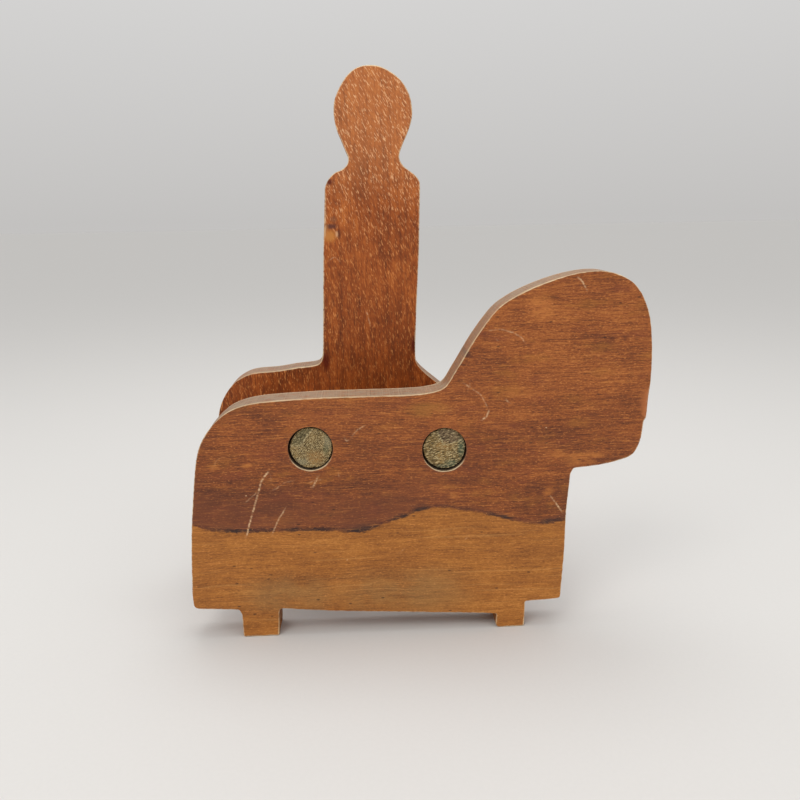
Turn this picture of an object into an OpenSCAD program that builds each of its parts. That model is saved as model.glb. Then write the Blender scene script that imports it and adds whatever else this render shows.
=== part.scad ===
// Horse-and-rider rack: two sawn boards held apart by two glued cross dowels.
// Millimetres. X runs from the horse's rump to its muzzle, Y from the horse board to the
// rider board, Z up. The origin is on the floor, in the middle of the footprint.

/* [Boards] */
// Thickness of both boards
board_t = 18; // [12:1:22]
// Clear gap between the boards, where letters or napkins stand
gap = 59; // [40:1:80]

/* [Horse] */
// Length from rump to muzzle
overall_l = 231; // [226:1:236]
// Height of the horse's back
back_z = 125.5; // [124:0.5:127]
// Height of the top of the horse's head
crown_z = 183.5; // [181:0.5:187]
// Height of the underside of the jaw
jaw_z = 87; // [85:0.5:88]
// Where the chest meets the jaw, from the middle of the footprint
chest_x = 77; // [75:0.5:79]
// Where the back starts to rise into the neck, from the middle of the footprint
withers_x = 5; // [3:0.5:7]

/* [Feet] */
// Height of the feet under the rump end of the body
foot_h = 16; // [14:0.5:18]
// Width of a hind foot
hind_foot_w = 18.5; // [15:0.5:22]
// Width of a fore foot
fore_foot_w = 14; // [11:0.5:16]

/* [Rider] */
// Where the rider's back meets the horse's back, from the middle of the footprint
seat_x = -48.4; // [-50:0.2:-47]
// Height of the top of the rider's head
rider_z = 289.5; // [284:0.5:296]
// Width of the rider's torso at the shoulders
shoulder_w = 52.8; // [48:0.2:56]
// Width of the rider's head
head_w = 42.6; // [38:0.2:46]

/* [Dowels] */
// Diameter of the dowels, which fill their holes
dowel_d = 22; // [18:0.5:22]
// Depth of each dowel end below the face of its board
dowel_recess = 1; // [0.5:0.1:1.5]
// Chamfer round each dowel end
dowel_chamfer = 0.6; // [0.3:0.1:1]
// Position of the dowel near the rump, in X and Z
rump_dowel_at = [-52.5, 100];
// Position of the dowel near the chest, in X and Z
chest_dowel_at = [13.5, 97.5];

/* [Hidden] */
$fn = 64;
rump_x = -overall_l / 2;
muzzle_x = overall_l / 2;
depth = 2 * board_t + gap;
horse_y = -depth / 2;
rider_y = depth / 2 - board_t;
hind_foot_x = rump_x + 24.5;
fore_foot_x = chest_x - 36;
curve_steps = 7;
round_steps = 4;

// Direction of a smooth curve at one of its points
function heading(p, i) =
    let (
        before = p[max(i - 1, 0)],
        after = p[min(i + 1, len(p) - 1)]
    )
    (after - before) / (norm(p[i] - before) + norm(after - p[i]));

// Point a share s of the way along one span of the curve
function on_span(a, b, heading_a, heading_b, s) =
    a * (2 * pow(s, 3) - 3 * pow(s, 2) + 1)
    + b * (3 * pow(s, 2) - 2 * pow(s, 3))
    + heading_a * norm(b - a) * (pow(s, 3) - 2 * pow(s, 2) + s)
    + heading_b * norm(b - a) * (pow(s, 3) - pow(s, 2));

// Smooth curve through the points p, with its last point
function smooth(p) = concat(
    [for (i = [0:len(p) - 2], k = [0:curve_steps - 1])
        on_span(p[i], p[i + 1], heading(p, i), heading(p, i + 1), k / curve_steps)],
    [p[len(p) - 1]]
);

// Arc of radius r round a centre, from one angle to another
function arc(centre, r, from, to) =
    [for (k = [0:round_steps])
        centre + r * [cos(from + (to - from) * k / round_steps),
                      sin(from + (to - from) * k / round_steps)]];

// Underside of both boards, from the rump round the two feet to the chest.
// The saw line is uneven: it drops from the hind foot to the fore foot.
function underside() = concat(
    arc([rump_x + 3, foot_h + 3.5], 2.8, 200, 265),
    [
        [hind_foot_x - 1.2, foot_h - 0.7],
        [hind_foot_x, foot_h - 3.5],
        [hind_foot_x, 0],
        [hind_foot_x + hind_foot_w, 0],
        [hind_foot_x + hind_foot_w + 0.4, foot_h - 3],
        [hind_foot_x + hind_foot_w + 1, foot_h - 0.8],
    ],
    smooth([
        [hind_foot_x + hind_foot_w + 3, foot_h - 0.8],
        [-46, foot_h - 3],
        [-10, foot_h - 5.2],
        [fore_foot_x - 4, foot_h - 7.8],
    ]),
    [
        [fore_foot_x - 0.5, foot_h - 8.2],
        [fore_foot_x - 1.2, 1.8],
        [fore_foot_x, 0],
        [fore_foot_x + fore_foot_w, 0],
        [fore_foot_x + fore_foot_w + 0.2, foot_h - 1.8],
        [chest_x - 8, foot_h - 1.1],
        [chest_x - 3.5, foot_h - 0.6],
    ]
);

// Horse from the side: rump, back, bulbous head and square chest
function horse_outline() = concat(
    underside(),
    smooth([
        [chest_x - 2.9, 24],
        [chest_x - 2, 42],
        [chest_x - 1.6, 62],
        [chest_x - 0.6, 76],
        [chest_x, 83],
    ]),
    // jaw and chin, up to the small saw step on the lip
    smooth([
        [chest_x + 1.5, jaw_z - 1.1],
        [chest_x + 15, jaw_z + 0.2],
        [muzzle_x - 14, jaw_z + 2.2],
        [muzzle_x - 7.5, jaw_z + 5],
        [muzzle_x - 4, jaw_z + 11.5],
        [muzzle_x - 2.4, jaw_z + 22.6],
    ]),
    // nose, forehead and crown, down the crest of the neck to the back
    smooth([
        [muzzle_x - 1, jaw_z + 24],
        [muzzle_x, jaw_z + 48],
        [muzzle_x - 0.5, jaw_z + 62],
        [muzzle_x - 3.2, crown_z - 18.5],
        [muzzle_x - 11, crown_z - 5.8],
        [muzzle_x - 26, crown_z],
        [muzzle_x - 49, crown_z - 3.6],
        [withers_x + 37.5, crown_z - 14.5],
        [withers_x + 25, crown_z - 29],
        [withers_x + 13.6, back_z + 10.5],
        [withers_x + 8.5, back_z + 3.2],
        [withers_x, back_z + 0.7],
        [withers_x - 13, back_z],
    ]),
    // back and rump
    smooth([
        [withers_x - 50, back_z - 0.1],
        [rump_x + 44.5, back_z - 1.2],
        [rump_x + 31.5, back_z - 3],
        [rump_x + 22.5, back_z - 6.8],
        [rump_x + 13.5, back_z - 15.5],
        [rump_x + 8, back_z - 26],
        [rump_x + 4.3, back_z - 48],
        [rump_x + 1.6, 52],
        [rump_x, 25],
    ])
);

// Rider from the side, on a body like the horse's but without a neck and head
function rider_outline() =
    let (
        waist_x = seat_x + 53,
        shoulder_l = seat_x + 4,
        shoulder_r = shoulder_l + shoulder_w,
        shoulder_z = rider_z - 63.5,
        neck_z = rider_z - 48.5,
        neck_l = seat_x + 17.6,
        neck_r = seat_x + 45.5,
        head_x = seat_x + 31.6,
        head_r = head_x + head_w / 2,
        head_l = head_x - head_w / 2,
        brow_z = rider_z - 23
    )
    concat(
        underside(),
        // chest, and the shoulder that slopes down in front of the rider
        smooth([
            [chest_x - 2.9, 24],
            [chest_x - 3, 50],
            [chest_x - 9, 70],
            [chest_x - 23, back_z - 39.5],
            [chest_x - 43, back_z - 24],
            [chest_x - 59.5, back_z - 10.3],
            [waist_x + 3.4, back_z - 1.9],
            [waist_x + 0.4, back_z + 3],
            [waist_x, back_z + 11.5],
        ]),
        // front of the torso, which leans forward a little
        [
            [waist_x + 1, 160],
            [waist_x + 2.8, 192],
            [shoulder_r, shoulder_z],
        ],
        // front shoulder, neck and head
        smooth([
            [shoulder_r - 0.2, shoulder_z + 3.2],
            [shoulder_r - 2.6, shoulder_z + 6.4],
            [shoulder_r - 6.8, shoulder_z + 9.6],
            [neck_r + 1.9, neck_z - 3.2],
            [neck_r, neck_z + 1.2],
            [neck_r + 2, neck_z + 7.6],
            [neck_r + 5.1, neck_z + 14.4],
            [head_r - 0.2, brow_z - 4.5],
            [head_r, brow_z + 1.5],
            [head_r - 1.8, brow_z + 9],
            [head_r - 7, brow_z + 16.4],
            [head_x + 5, rider_z - 0.9],
            [head_x - 2.5, rider_z],
            [head_x - 9, rider_z - 1.7],
            [head_x - 14.6, rider_z - 6.5],
            [head_l + 1.3, brow_z + 7],
            [head_l + 0.1, brow_z],
            [head_l + 1, brow_z - 8],
            [head_l + 3.3, neck_z + 11.5],
            [neck_l - 1.6, neck_z + 5.4],
            [neck_l, neck_z + 1],
            [neck_l - 0.8, neck_z - 2.6],
            [neck_l - 3.8, neck_z - 5.1],
            [neck_l - 7.8, neck_z - 6.8],
            [shoulder_l + 2, shoulder_z + 4.4],
            [shoulder_l + 0.2, shoulder_z + 0.6],
        ]),
        // back of the torso
        [
            [seat_x + 2.2, 193],
            [seat_x + 1, 165],
        ],
        // seat, back and rump, cut a little fuller than the horse's
        smooth([
            [seat_x, back_z + 14.5],
            [seat_x - 0.6, back_z + 7.5],
            [seat_x - 2.6, back_z + 3],
            [seat_x - 7, back_z + 1.7],
            [seat_x - 15.6, back_z + 0.9],
            [rump_x + 39.5, back_z - 0.8],
            [rump_x + 27.5, back_z - 1.6],
            [rump_x + 21.1, back_z - 3.4],
            [rump_x + 14.5, back_z - 7.8],
            [rump_x + 8.9, back_z - 15.2],
            [rump_x + 5.5, back_z - 23.5],
            [rump_x + 2.9, back_z - 40],
            [rump_x + 1, 56],
            [rump_x, 25],
        ])
    );

// Board with the given outline, lying from near_y to near_y + board_t, drilled for the dowels
module drilled_board(outline, near_y) {
    difference() {
        translate([0, near_y + board_t, 0])
            rotate([90, 0, 0])
                linear_extrude(board_t)
                    polygon(outline);
        for (at = [rump_dowel_at, chest_dowel_at])
            translate([at[0], near_y - 1, at[1]])
                rotate([-90, 0, 0])
                    cylinder(d = dowel_d, h = board_t + 2);
    }
}

// Cross dowel through both boards, chamfered and a little short of each face
module dowel(at) {
    shaft_l = depth - 2 * dowel_recess - 2 * dowel_chamfer;
    translate([at[0], horse_y + dowel_recess, at[1]])
        rotate([-90, 0, 0])
            union() {
                cylinder(d1 = dowel_d - 2 * dowel_chamfer, d2 = dowel_d, h = dowel_chamfer);
                translate([0, 0, dowel_chamfer])
                    cylinder(d = dowel_d, h = shaft_l);
                translate([0, 0, dowel_chamfer + shaft_l])
                    cylinder(d1 = dowel_d, d2 = dowel_d - 2 * dowel_chamfer, h = dowel_chamfer);
            }
}

module horse_board() {
    color([0.55, 0.35, 0.20])
        drilled_board(horse_outline(), horse_y);
}

module rider_board() {
    color([0.60, 0.32, 0.18])
        drilled_board(rider_outline(), rider_y);
}

module rump_dowel() {
    color([0.58, 0.50, 0.34])
        dowel(rump_dowel_at);
}

module chest_dowel() {
    color([0.58, 0.50, 0.34])
        dowel(chest_dowel_at);
}

horse_board();
rider_board();
rump_dowel();
chest_dowel();
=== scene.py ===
"""Looks of the horse-and-rider rack: two sawn boards and two cross dowels.

Each CAD node is replaced by a finer mesh made from its own outline: rubbed arrises, saw marks,
shallow scratches, eased hole mouths and rough dowel ends. Lengths in this file are in
millimetres unless a comment says otherwise, and are turned into metres where a mesh is made.
X runs from rump to muzzle, Y from the horse board to the rider board, Z up.
"""

import math
import random

import bmesh
import bpy
import numpy as np
from mathutils import Euler, Matrix, Vector, kdtree, noise
from mathutils.geometry import delaunay_2d_cdt


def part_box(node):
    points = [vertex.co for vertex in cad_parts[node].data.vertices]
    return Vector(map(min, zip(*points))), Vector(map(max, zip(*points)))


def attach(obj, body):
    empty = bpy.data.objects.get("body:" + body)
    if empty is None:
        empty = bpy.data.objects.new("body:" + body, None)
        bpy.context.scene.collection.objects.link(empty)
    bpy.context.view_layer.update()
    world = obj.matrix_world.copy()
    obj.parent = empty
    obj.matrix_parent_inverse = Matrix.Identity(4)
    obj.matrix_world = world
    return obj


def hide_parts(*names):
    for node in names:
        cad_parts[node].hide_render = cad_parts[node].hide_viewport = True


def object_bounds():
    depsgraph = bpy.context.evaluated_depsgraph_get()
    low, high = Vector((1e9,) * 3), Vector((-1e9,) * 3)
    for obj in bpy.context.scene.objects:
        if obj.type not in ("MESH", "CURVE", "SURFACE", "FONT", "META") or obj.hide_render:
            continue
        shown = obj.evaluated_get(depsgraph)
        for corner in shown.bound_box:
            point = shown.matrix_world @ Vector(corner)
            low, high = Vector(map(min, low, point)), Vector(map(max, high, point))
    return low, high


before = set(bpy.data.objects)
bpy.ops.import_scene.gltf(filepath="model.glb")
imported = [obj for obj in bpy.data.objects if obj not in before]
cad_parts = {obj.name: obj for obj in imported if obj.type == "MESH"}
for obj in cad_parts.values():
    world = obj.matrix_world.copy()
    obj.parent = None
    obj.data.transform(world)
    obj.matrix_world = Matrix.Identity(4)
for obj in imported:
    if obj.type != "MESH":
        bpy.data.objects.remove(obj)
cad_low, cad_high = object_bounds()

MM = 0.001  # metres in a millimetre

# ---------------------------------------------------------------- sizes

OUTLINE_STEP = 0.35  # spacing of points along a board's outline
FACE_STEP = 2.2  # spacing of points across a board's face
WALL_ROWS = 9  # rows of faces across the thickness of a board
ARRIS_ANGLES = [0, 22.5, 45, 67.5, 90]  # profile of a worn edge, from the face to the wall
FLAT_RIM = 0.35  # flat strip kept between a worn edge and the relief of the face
ARRIS_RADIUS = 0.42  # middling radius of a worn edge
ARRIS_LIMITS = (0.18, 1.9)  # its least and greatest radius
SAW_PITCH = 1.05  # distance between the saw marks on an edge
SCRATCH_STEP = 0.55  # spacing of points along a scratch
HOLE_POINTS = 144
DOWEL_POINTS = 132
DOWEL_ROWS = 26  # rows of faces along a dowel
END_STEP = 0.3  # spacing of points across the rough end of a dowel
ROW_SHARE = 0.87  # distance between the rows of a triangle grid, as a share of its step


# ---------------------------------------------------------------- numbers and outlines


def ripple(points, scale, seed):
    """Smooth noise from about -1 to 1 at each point, one value for each row of points."""
    shift = Vector((seed * 7.31, seed * 3.17, seed * 5.73))
    return np.array([noise.noise(Vector((p[0], p[1], 0)) * scale + shift) for p in points])


def fade(value, start, end):
    """0 at start, 1 at end, smooth in between; works on arrays."""
    t = np.clip((np.asarray(value, float) - start) / (end - start), 0, 1)
    return t * t * (3 - 2 * t)


def signed_area(loop):
    x, z = loop[:, 0], loop[:, 1]
    return 0.5 * float(np.sum(x * np.roll(z, -1) - np.roll(x, -1) * z))


def face_loops(node, y):
    """Loops of (x, z) round the flat face of a CAD node at depth y, anticlockwise, largest first."""
    bm = bmesh.new()
    bm.from_mesh(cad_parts[node].data)
    bmesh.ops.remove_doubles(bm, verts=bm.verts, dist=1e-6)
    flat = {f for f in bm.faces if all(abs(v.co.y - y) < 1e-5 for v in f.verts)}
    beside = {}
    for edge in bm.edges:
        if sum(f in flat for f in edge.link_faces) == 1:
            a, b = edge.verts
            beside.setdefault(a, []).append(b)
            beside.setdefault(b, []).append(a)
    loops = []
    while beside:
        first = here = next(iter(beside))
        loop = []
        came_from = None
        while True:
            loop.append((here.co.x / MM, here.co.z / MM))
            onward = [
                v for v in beside.pop(here) if v is not came_from and (v in beside or v is first)]
            came_from = here
            if not onward or onward[0] is first:
                break
            here = onward[0]
        loop = np.array(loop)
        loops.append(loop if signed_area(loop) > 0 else loop[::-1])
    bm.free()
    return sorted(loops, key=lambda found: -abs(signed_area(found)))


def even_steps(path, step, closed=True):
    """Points at equal steps along a path, and how far along it each lies."""
    line = np.vstack([path, path[:1]]) if closed else np.array(path, float)
    along = np.concatenate([[0], np.cumsum(np.linalg.norm(np.diff(line, axis=0), axis=1))])
    count = max(2, round(along[-1] / step))
    places = np.linspace(0, along[-1], count, endpoint=not closed)
    return np.column_stack([np.interp(places, along, line[:, k]) for k in (0, 1)]), places


def soften(loop, passes):
    """Rounds the corners of a closed loop a little."""
    for _ in range(passes):
        loop = (np.roll(loop, 1, 0) + 2 * loop + np.roll(loop, -1, 0)) / 4
    return loop


def outward(loop):
    """Unit normals of an anticlockwise loop, pointing out of it."""
    run = np.roll(loop, -2, 0) - np.roll(loop, 2, 0)
    normal = np.column_stack([run[:, 1], -run[:, 0]])
    return normal / np.linalg.norm(normal, axis=1)[:, None]


def untangled(loop, inset):
    """Spreads out the points of an inset loop where they would fold over at a tight corner."""
    run = np.roll(loop, -1, 0) - loop
    inset = inset.copy()
    for _ in range(300):
        kept = np.sum((np.roll(inset, -1, 0) - inset) * run, axis=1) / np.sum(run * run, axis=1)
        tight = kept < 0.1
        if not tight.any():
            break
        close = tight | np.roll(tight, 1) | np.roll(tight, -1) | np.roll(tight, 2)
        middle = (np.roll(inset, 1, 0) + np.roll(inset, -1, 0)) / 2
        inset[close] = middle[close]
    return inset


def inside(loop, points):
    """Which points lie inside a closed loop."""
    x0, z0 = loop[:, 0], loop[:, 1]
    x1, z1 = np.roll(x0, -1), np.roll(z0, -1)
    found = np.zeros(len(points), bool)
    for start in range(0, len(points), 1500):
        px = points[start:start + 1500, 0][:, None]
        pz = points[start:start + 1500, 1][:, None]
        spans = (z0 > pz) != (z1 > pz)
        with np.errstate(divide="ignore", invalid="ignore"):
            crossing = x0 + (pz - z0) / (z1 - z0) * (x1 - x0)
        found[start:start + 1500] = np.sum(spans & (px < crossing), axis=1) % 2 == 1
    return found


def circle(count):
    """Angles at equal steps round a circle, and the unit vector at each."""
    turn = np.linspace(0, 2 * math.pi, count, endpoint=False)
    return turn, np.column_stack([np.cos(turn), np.sin(turn)])


def round_hole(loop):
    """Middle and radius of a round loop."""
    middle = loop.mean(0)
    return middle, float(np.linalg.norm(loop - middle, axis=1).mean())


def scattered(low, high, step, stray, rng):
    """Points of a triangle grid between two corners, each moved a little at random."""
    found = []
    for i, z in enumerate(np.arange(low[1], high[1], step * ROW_SHARE)):
        for x in np.arange(low[0] + (i % 2) * step / 2, high[0], step):
            found.append((
                x + rng.uniform(-stray, stray) * step,
                z + rng.uniform(-stray, stray) * step))
    return np.array(found)


def nearest(points, queries):
    """Distance from each query to the nearest of the points."""
    tree = kdtree.KDTree(len(points))
    for i, p in enumerate(points):
        tree.insert((p[0], p[1], 0), i)
    tree.balance()
    return np.array([tree.find((q[0], q[1], 0))[2] for q in queries])


# ---------------------------------------------------------------- mesh assembly


class Piece:
    """Collects vertices with named values, and faces, and makes one closed mesh of them."""

    VALUES = ("edge", "worn", "scratch", "along", "bore", "chip")

    def __init__(self, name):
        self.name = name
        self.points = []
        self.values = {key: [] for key in self.VALUES}
        self.faces = []

    def add(self, xz, y, **values):
        """Adds points at (x, z) and depth y, and returns their indices."""
        first = sum(len(block) for block in self.points)
        block = np.column_stack([xz[:, 0], np.broadcast_to(y, len(xz)), xz[:, 1]])
        self.points.append(block)
        for key in self.VALUES:
            self.values[key].append(np.array(np.broadcast_to(values.get(key, 0.0), len(xz)), float))
        return np.arange(first, first + len(xz))

    def band(self, ring_a, ring_b):
        """Joins two rings with the same number of points by a strip of faces."""
        next_a, next_b = np.roll(ring_a, -1), np.roll(ring_b, -1)
        self.faces.extend(np.column_stack([ring_a, next_a, next_b, ring_b]).tolist())

    def fill(self, rings, loose, keep):
        """Fills a flat face: rings are index arrays that bound it, loose are indices inside it."""
        order = np.concatenate(rings + [loose]).astype(int)
        flat = np.vstack(self.points)[order][:, [0, 2]]
        bounds, start = [], 0
        for ring in rings:
            bounds += [(start + i, start + (i + 1) % len(ring)) for i in range(len(ring))]
            start += len(ring)
        result = delaunay_2d_cdt([Vector(p) for p in flat], bounds, [], 0, 1e-7)
        made, triangles, origin = result[0], result[2], result[3]
        centres = np.array([
            [sum(made[i].x for i in t) / 3, sum(made[i].y for i in t) / 3] for t in triangles])
        for triangle, wanted in zip(triangles, keep(centres)):
            if wanted:
                self.faces.append([int(order[origin[i][0]]) for i in triangle])

    def build(self, material):
        mesh = bpy.data.meshes.new(self.name)
        mesh.from_pydata((np.vstack(self.points) * MM).tolist(), [], self.faces)
        bm = bmesh.new()
        bm.from_mesh(mesh)
        bmesh.ops.recalc_face_normals(bm, faces=bm.faces)
        bm.to_mesh(mesh)
        bm.free()
        for key in self.VALUES:
            layer = mesh.attributes.new(key, "FLOAT", "POINT")
            layer.data.foreach_set("value", np.concatenate(self.values[key]))
        mesh.materials.append(material)
        mesh.polygons.foreach_set("use_smooth", [True] * len(mesh.polygons))
        mesh.update()
        obj = bpy.data.objects.new(self.name, mesh)
        bpy.context.scene.collection.objects.link(obj)
        return obj


# ---------------------------------------------------------------- boards


def scratch_rows(path, depth, rng):
    """Rows of points along one scratch, with their pit depths and paleness."""
    line, along = even_steps(path, SCRATCH_STEP, closed=False)
    run = np.gradient(line, axis=0)
    side = np.column_stack([-run[:, 1], run[:, 0]]) / np.linalg.norm(run, axis=1)[:, None]
    wobble = np.array([rng.uniform(-0.12, 0.12) for _ in line])
    force = np.array([rng.uniform(0.1, 1.0) for _ in line])
    force *= 0.75 + 0.5 * ripple(line, 1 / 2.2, depth * 100)
    force *= np.minimum(1, np.minimum(along, along[-1] - along) / 2 + 0.25)
    rows, pits, pale = [], [], []
    broad = 0.12 + depth * 0.8  # half the width of the groove's floor
    rim = broad + 0.35
    for offset, share in ((-rim, 0), (-broad, 0.7), (0, 1), (broad, 0.7), (rim, 0)):
        rows.append(line + side * (offset + wobble)[:, None])
        pits.append(depth * share * force)
        pale.append(share * force * min(1.5, depth / 0.12))
    return np.vstack(rows), np.concatenate(pits), np.concatenate(pale)


def face_points(outer, holes, scratches, rng):
    """Points across one face of a board: its scratches first, then a scattered grid round them.

    Returns the points, their depths below the face and how pale each is.
    """
    rows = [scratch_rows(np.array(path, float), depth, rng) for depth, path in scratches]
    marks = np.vstack([r[0] for r in rows]) if rows else np.zeros((0, 2))
    pits = np.concatenate([r[1] for r in rows]) if rows else np.zeros(0)
    pale = np.concatenate([r[2] for r in rows]) if rows else np.zeros(0)
    grid = scattered(outer.min(0), outer.max(0), FACE_STEP, 0.3, rng)
    both = np.vstack([marks, grid])
    is_mark = np.arange(len(both)) < len(marks)
    rim_gap = nearest(np.vstack([outer] + holes), both)
    keep = inside(outer, both) & (rim_gap > np.where(is_mark, 0.3, 0.9))
    for hole in holes:
        keep &= ~inside(hole, both)
    if len(marks):
        keep &= is_mark | (nearest(marks, both) > 0.8)
    waves = 0.05 * (1 + ripple(both, 1 / 33, 3))
    grain = 0.03 * (1 + ripple(both * [0.12, 1], 1 / 3.1, 5))
    depth = (waves + grain) * fade(rim_gap, 0.5, 10)
    depth[is_mark] += pits
    paleness = np.zeros(len(both))
    paleness[is_mark] = pale
    return both[keep], depth[keep], paleness[keep]


def board(name, node, material, wear, saw, chips, scratches, seed):
    """A sawn board made from the outline of its CAD node.

    wear(points) is the extra wear of the edges, saw(points) the depth of the saw marks,
    chips(points) how much of the edge is broken away to bare wood, and scratches has one list
    for the near face and one for the far face.
    """
    rng = random.Random(seed)
    low, high = (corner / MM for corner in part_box(node))
    loops = face_loops(node, low.y * MM)
    outline, along = even_steps(loops[0], OUTLINE_STEP)
    outline = soften(outline, 8)
    normals = outward(outline)
    phase = 2 * math.pi * along / SAW_PITCH + 2.5 * ripple(outline, 1 / 6, seed + 1)
    marks = 0.5 + 0.5 * np.sin(phase)
    outline = outline - normals * (0.02 + saw(outline) * marks)[:, None]
    chip = chips(outline)
    piece = Piece(name)
    wall_rings = {}
    hole_rings = {}
    holes = [round_hole(loop) for loop in loops[1:]]
    turn, spoke = circle(HOLE_POINTS)
    low_side = fade(-spoke[:, 1], 0.2, 0.8)

    for far in (False, True):
        face_y, inward = (high.y, -1) if far else (low.y, 1)

        # the worn edge, from the flat of the face to the wall
        radius = ARRIS_RADIUS + 0.26 * ripple(outline, 1 / 14, seed + 2 + far)
        radius += 0.22 * ripple(outline, 1 / 2.6, seed + 4 + far)
        radius = np.clip(radius + wear(outline) + (0 if far else 1.1 * chip), *ARRIS_LIMITS)
        reach = radius + FLAT_RIM
        rim = untangled(outline, outline - normals * reach[:, None])
        rings = []
        # paleness of each arris: part wear, part painted highlight where it catches the light
        worn = fade(ripple(outline, 1 / 8, seed + 6 + far), -0.5, 0.5) * 0.4 + 0.6
        bare = 0 if far else chip
        flat = piece.add(rim, face_y, along=along, chip=bare)
        for angle in ARRIS_ANGLES:
            a = math.radians(angle)
            ring = outline + (rim - outline) * (radius * (1 - math.sin(a)) / reach)[:, None]
            rings.append(piece.add(
                ring, face_y + inward * radius * (1 - math.cos(a)), along=along, chip=bare,
                edge=angle / 90, worn=worn * math.sin(min(2 * a, math.pi - 0.6))))
        for ring_a, ring_b in zip([flat] + rings, rings):
            piece.band(ring_a, ring_b)
        wall_rings[far] = (rings[-1], face_y + inward * radius)

        # the mouths of the holes, eased most at the bottom, with a painted highlight on the lower lip
        # where the light from above falls
        hole_flats = []
        for k, (centre, hole_r) in enumerate(holes):
            eased = 0.4 + 0.3 * low_side + 0.2 * ripple(spoke * 11, 1 / 3, seed + 8 + k + far)
            mouth = piece.add(
                centre + spoke * (hole_r + eased + FLAT_RIM)[:, None], face_y, bore=0.3)
            last = mouth
            for angle in ARRIS_ANGLES:
                a = math.radians(angle)
                ring = piece.add(
                    centre + spoke * (hole_r + eased * (1 - math.sin(a)))[:, None],
                    face_y + inward * eased * (1 - math.cos(a)),
                    edge=angle / 90, bore=0.3 + angle / 130,
                    worn=math.sin(min(2 * a, math.pi - 0.6)) * (0.1 + 0.8 * fade(-spoke[:, 1], 0.3, 0.8)))
                piece.band(last, ring)
                last = ring
            hole_flats.append(mouth)
            hole_rings[k, far] = last

        # the face itself
        all_points = np.vstack(piece.points)[:, [0, 2]]
        hole_rims = [all_points[ring] for ring in hole_flats]
        spread, depth, pale = face_points(rim, hole_rims, scratches[far], rng)
        loose = piece.add(spread, face_y + inward * depth, scratch=pale)
        # the bore's rim is a polygon of chords, so its own polygon is tested, not its circle
        piece.fill(
            [flat] + hole_flats, loose,
            lambda c: inside(rim, c) & ~np.any([inside(h, c) for h in hole_rims], axis=0))

    # the sawn wall and the bores, from the near face to the far face
    near_ring, near_y = wall_rings[False]
    far_ring, far_y = wall_rings[True]
    last = near_ring
    for row in range(1, WALL_ROWS):
        share = row / WALL_ROWS
        y = near_y + (far_y - near_y) * share
        across = np.column_stack([along, y])
        dip = 0.05 * (1 + ripple(across * [0.12, 1], 1 / 2.2, seed + 12))
        dip *= math.sin(math.pi * share)
        ring = piece.add(
            outline - normals * dip[:, None], y, along=along, edge=1, chip=0.15 * chip)
        piece.band(last, ring)
        last = ring
    piece.band(last, far_ring)
    for k in range(len(holes)):
        piece.band(hole_rings[k, False], hole_rings[k, True])
    made = piece.build(material)
    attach(made, "root")
    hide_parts(node)
    return made


# ---------------------------------------------------------------- dowels


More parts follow.
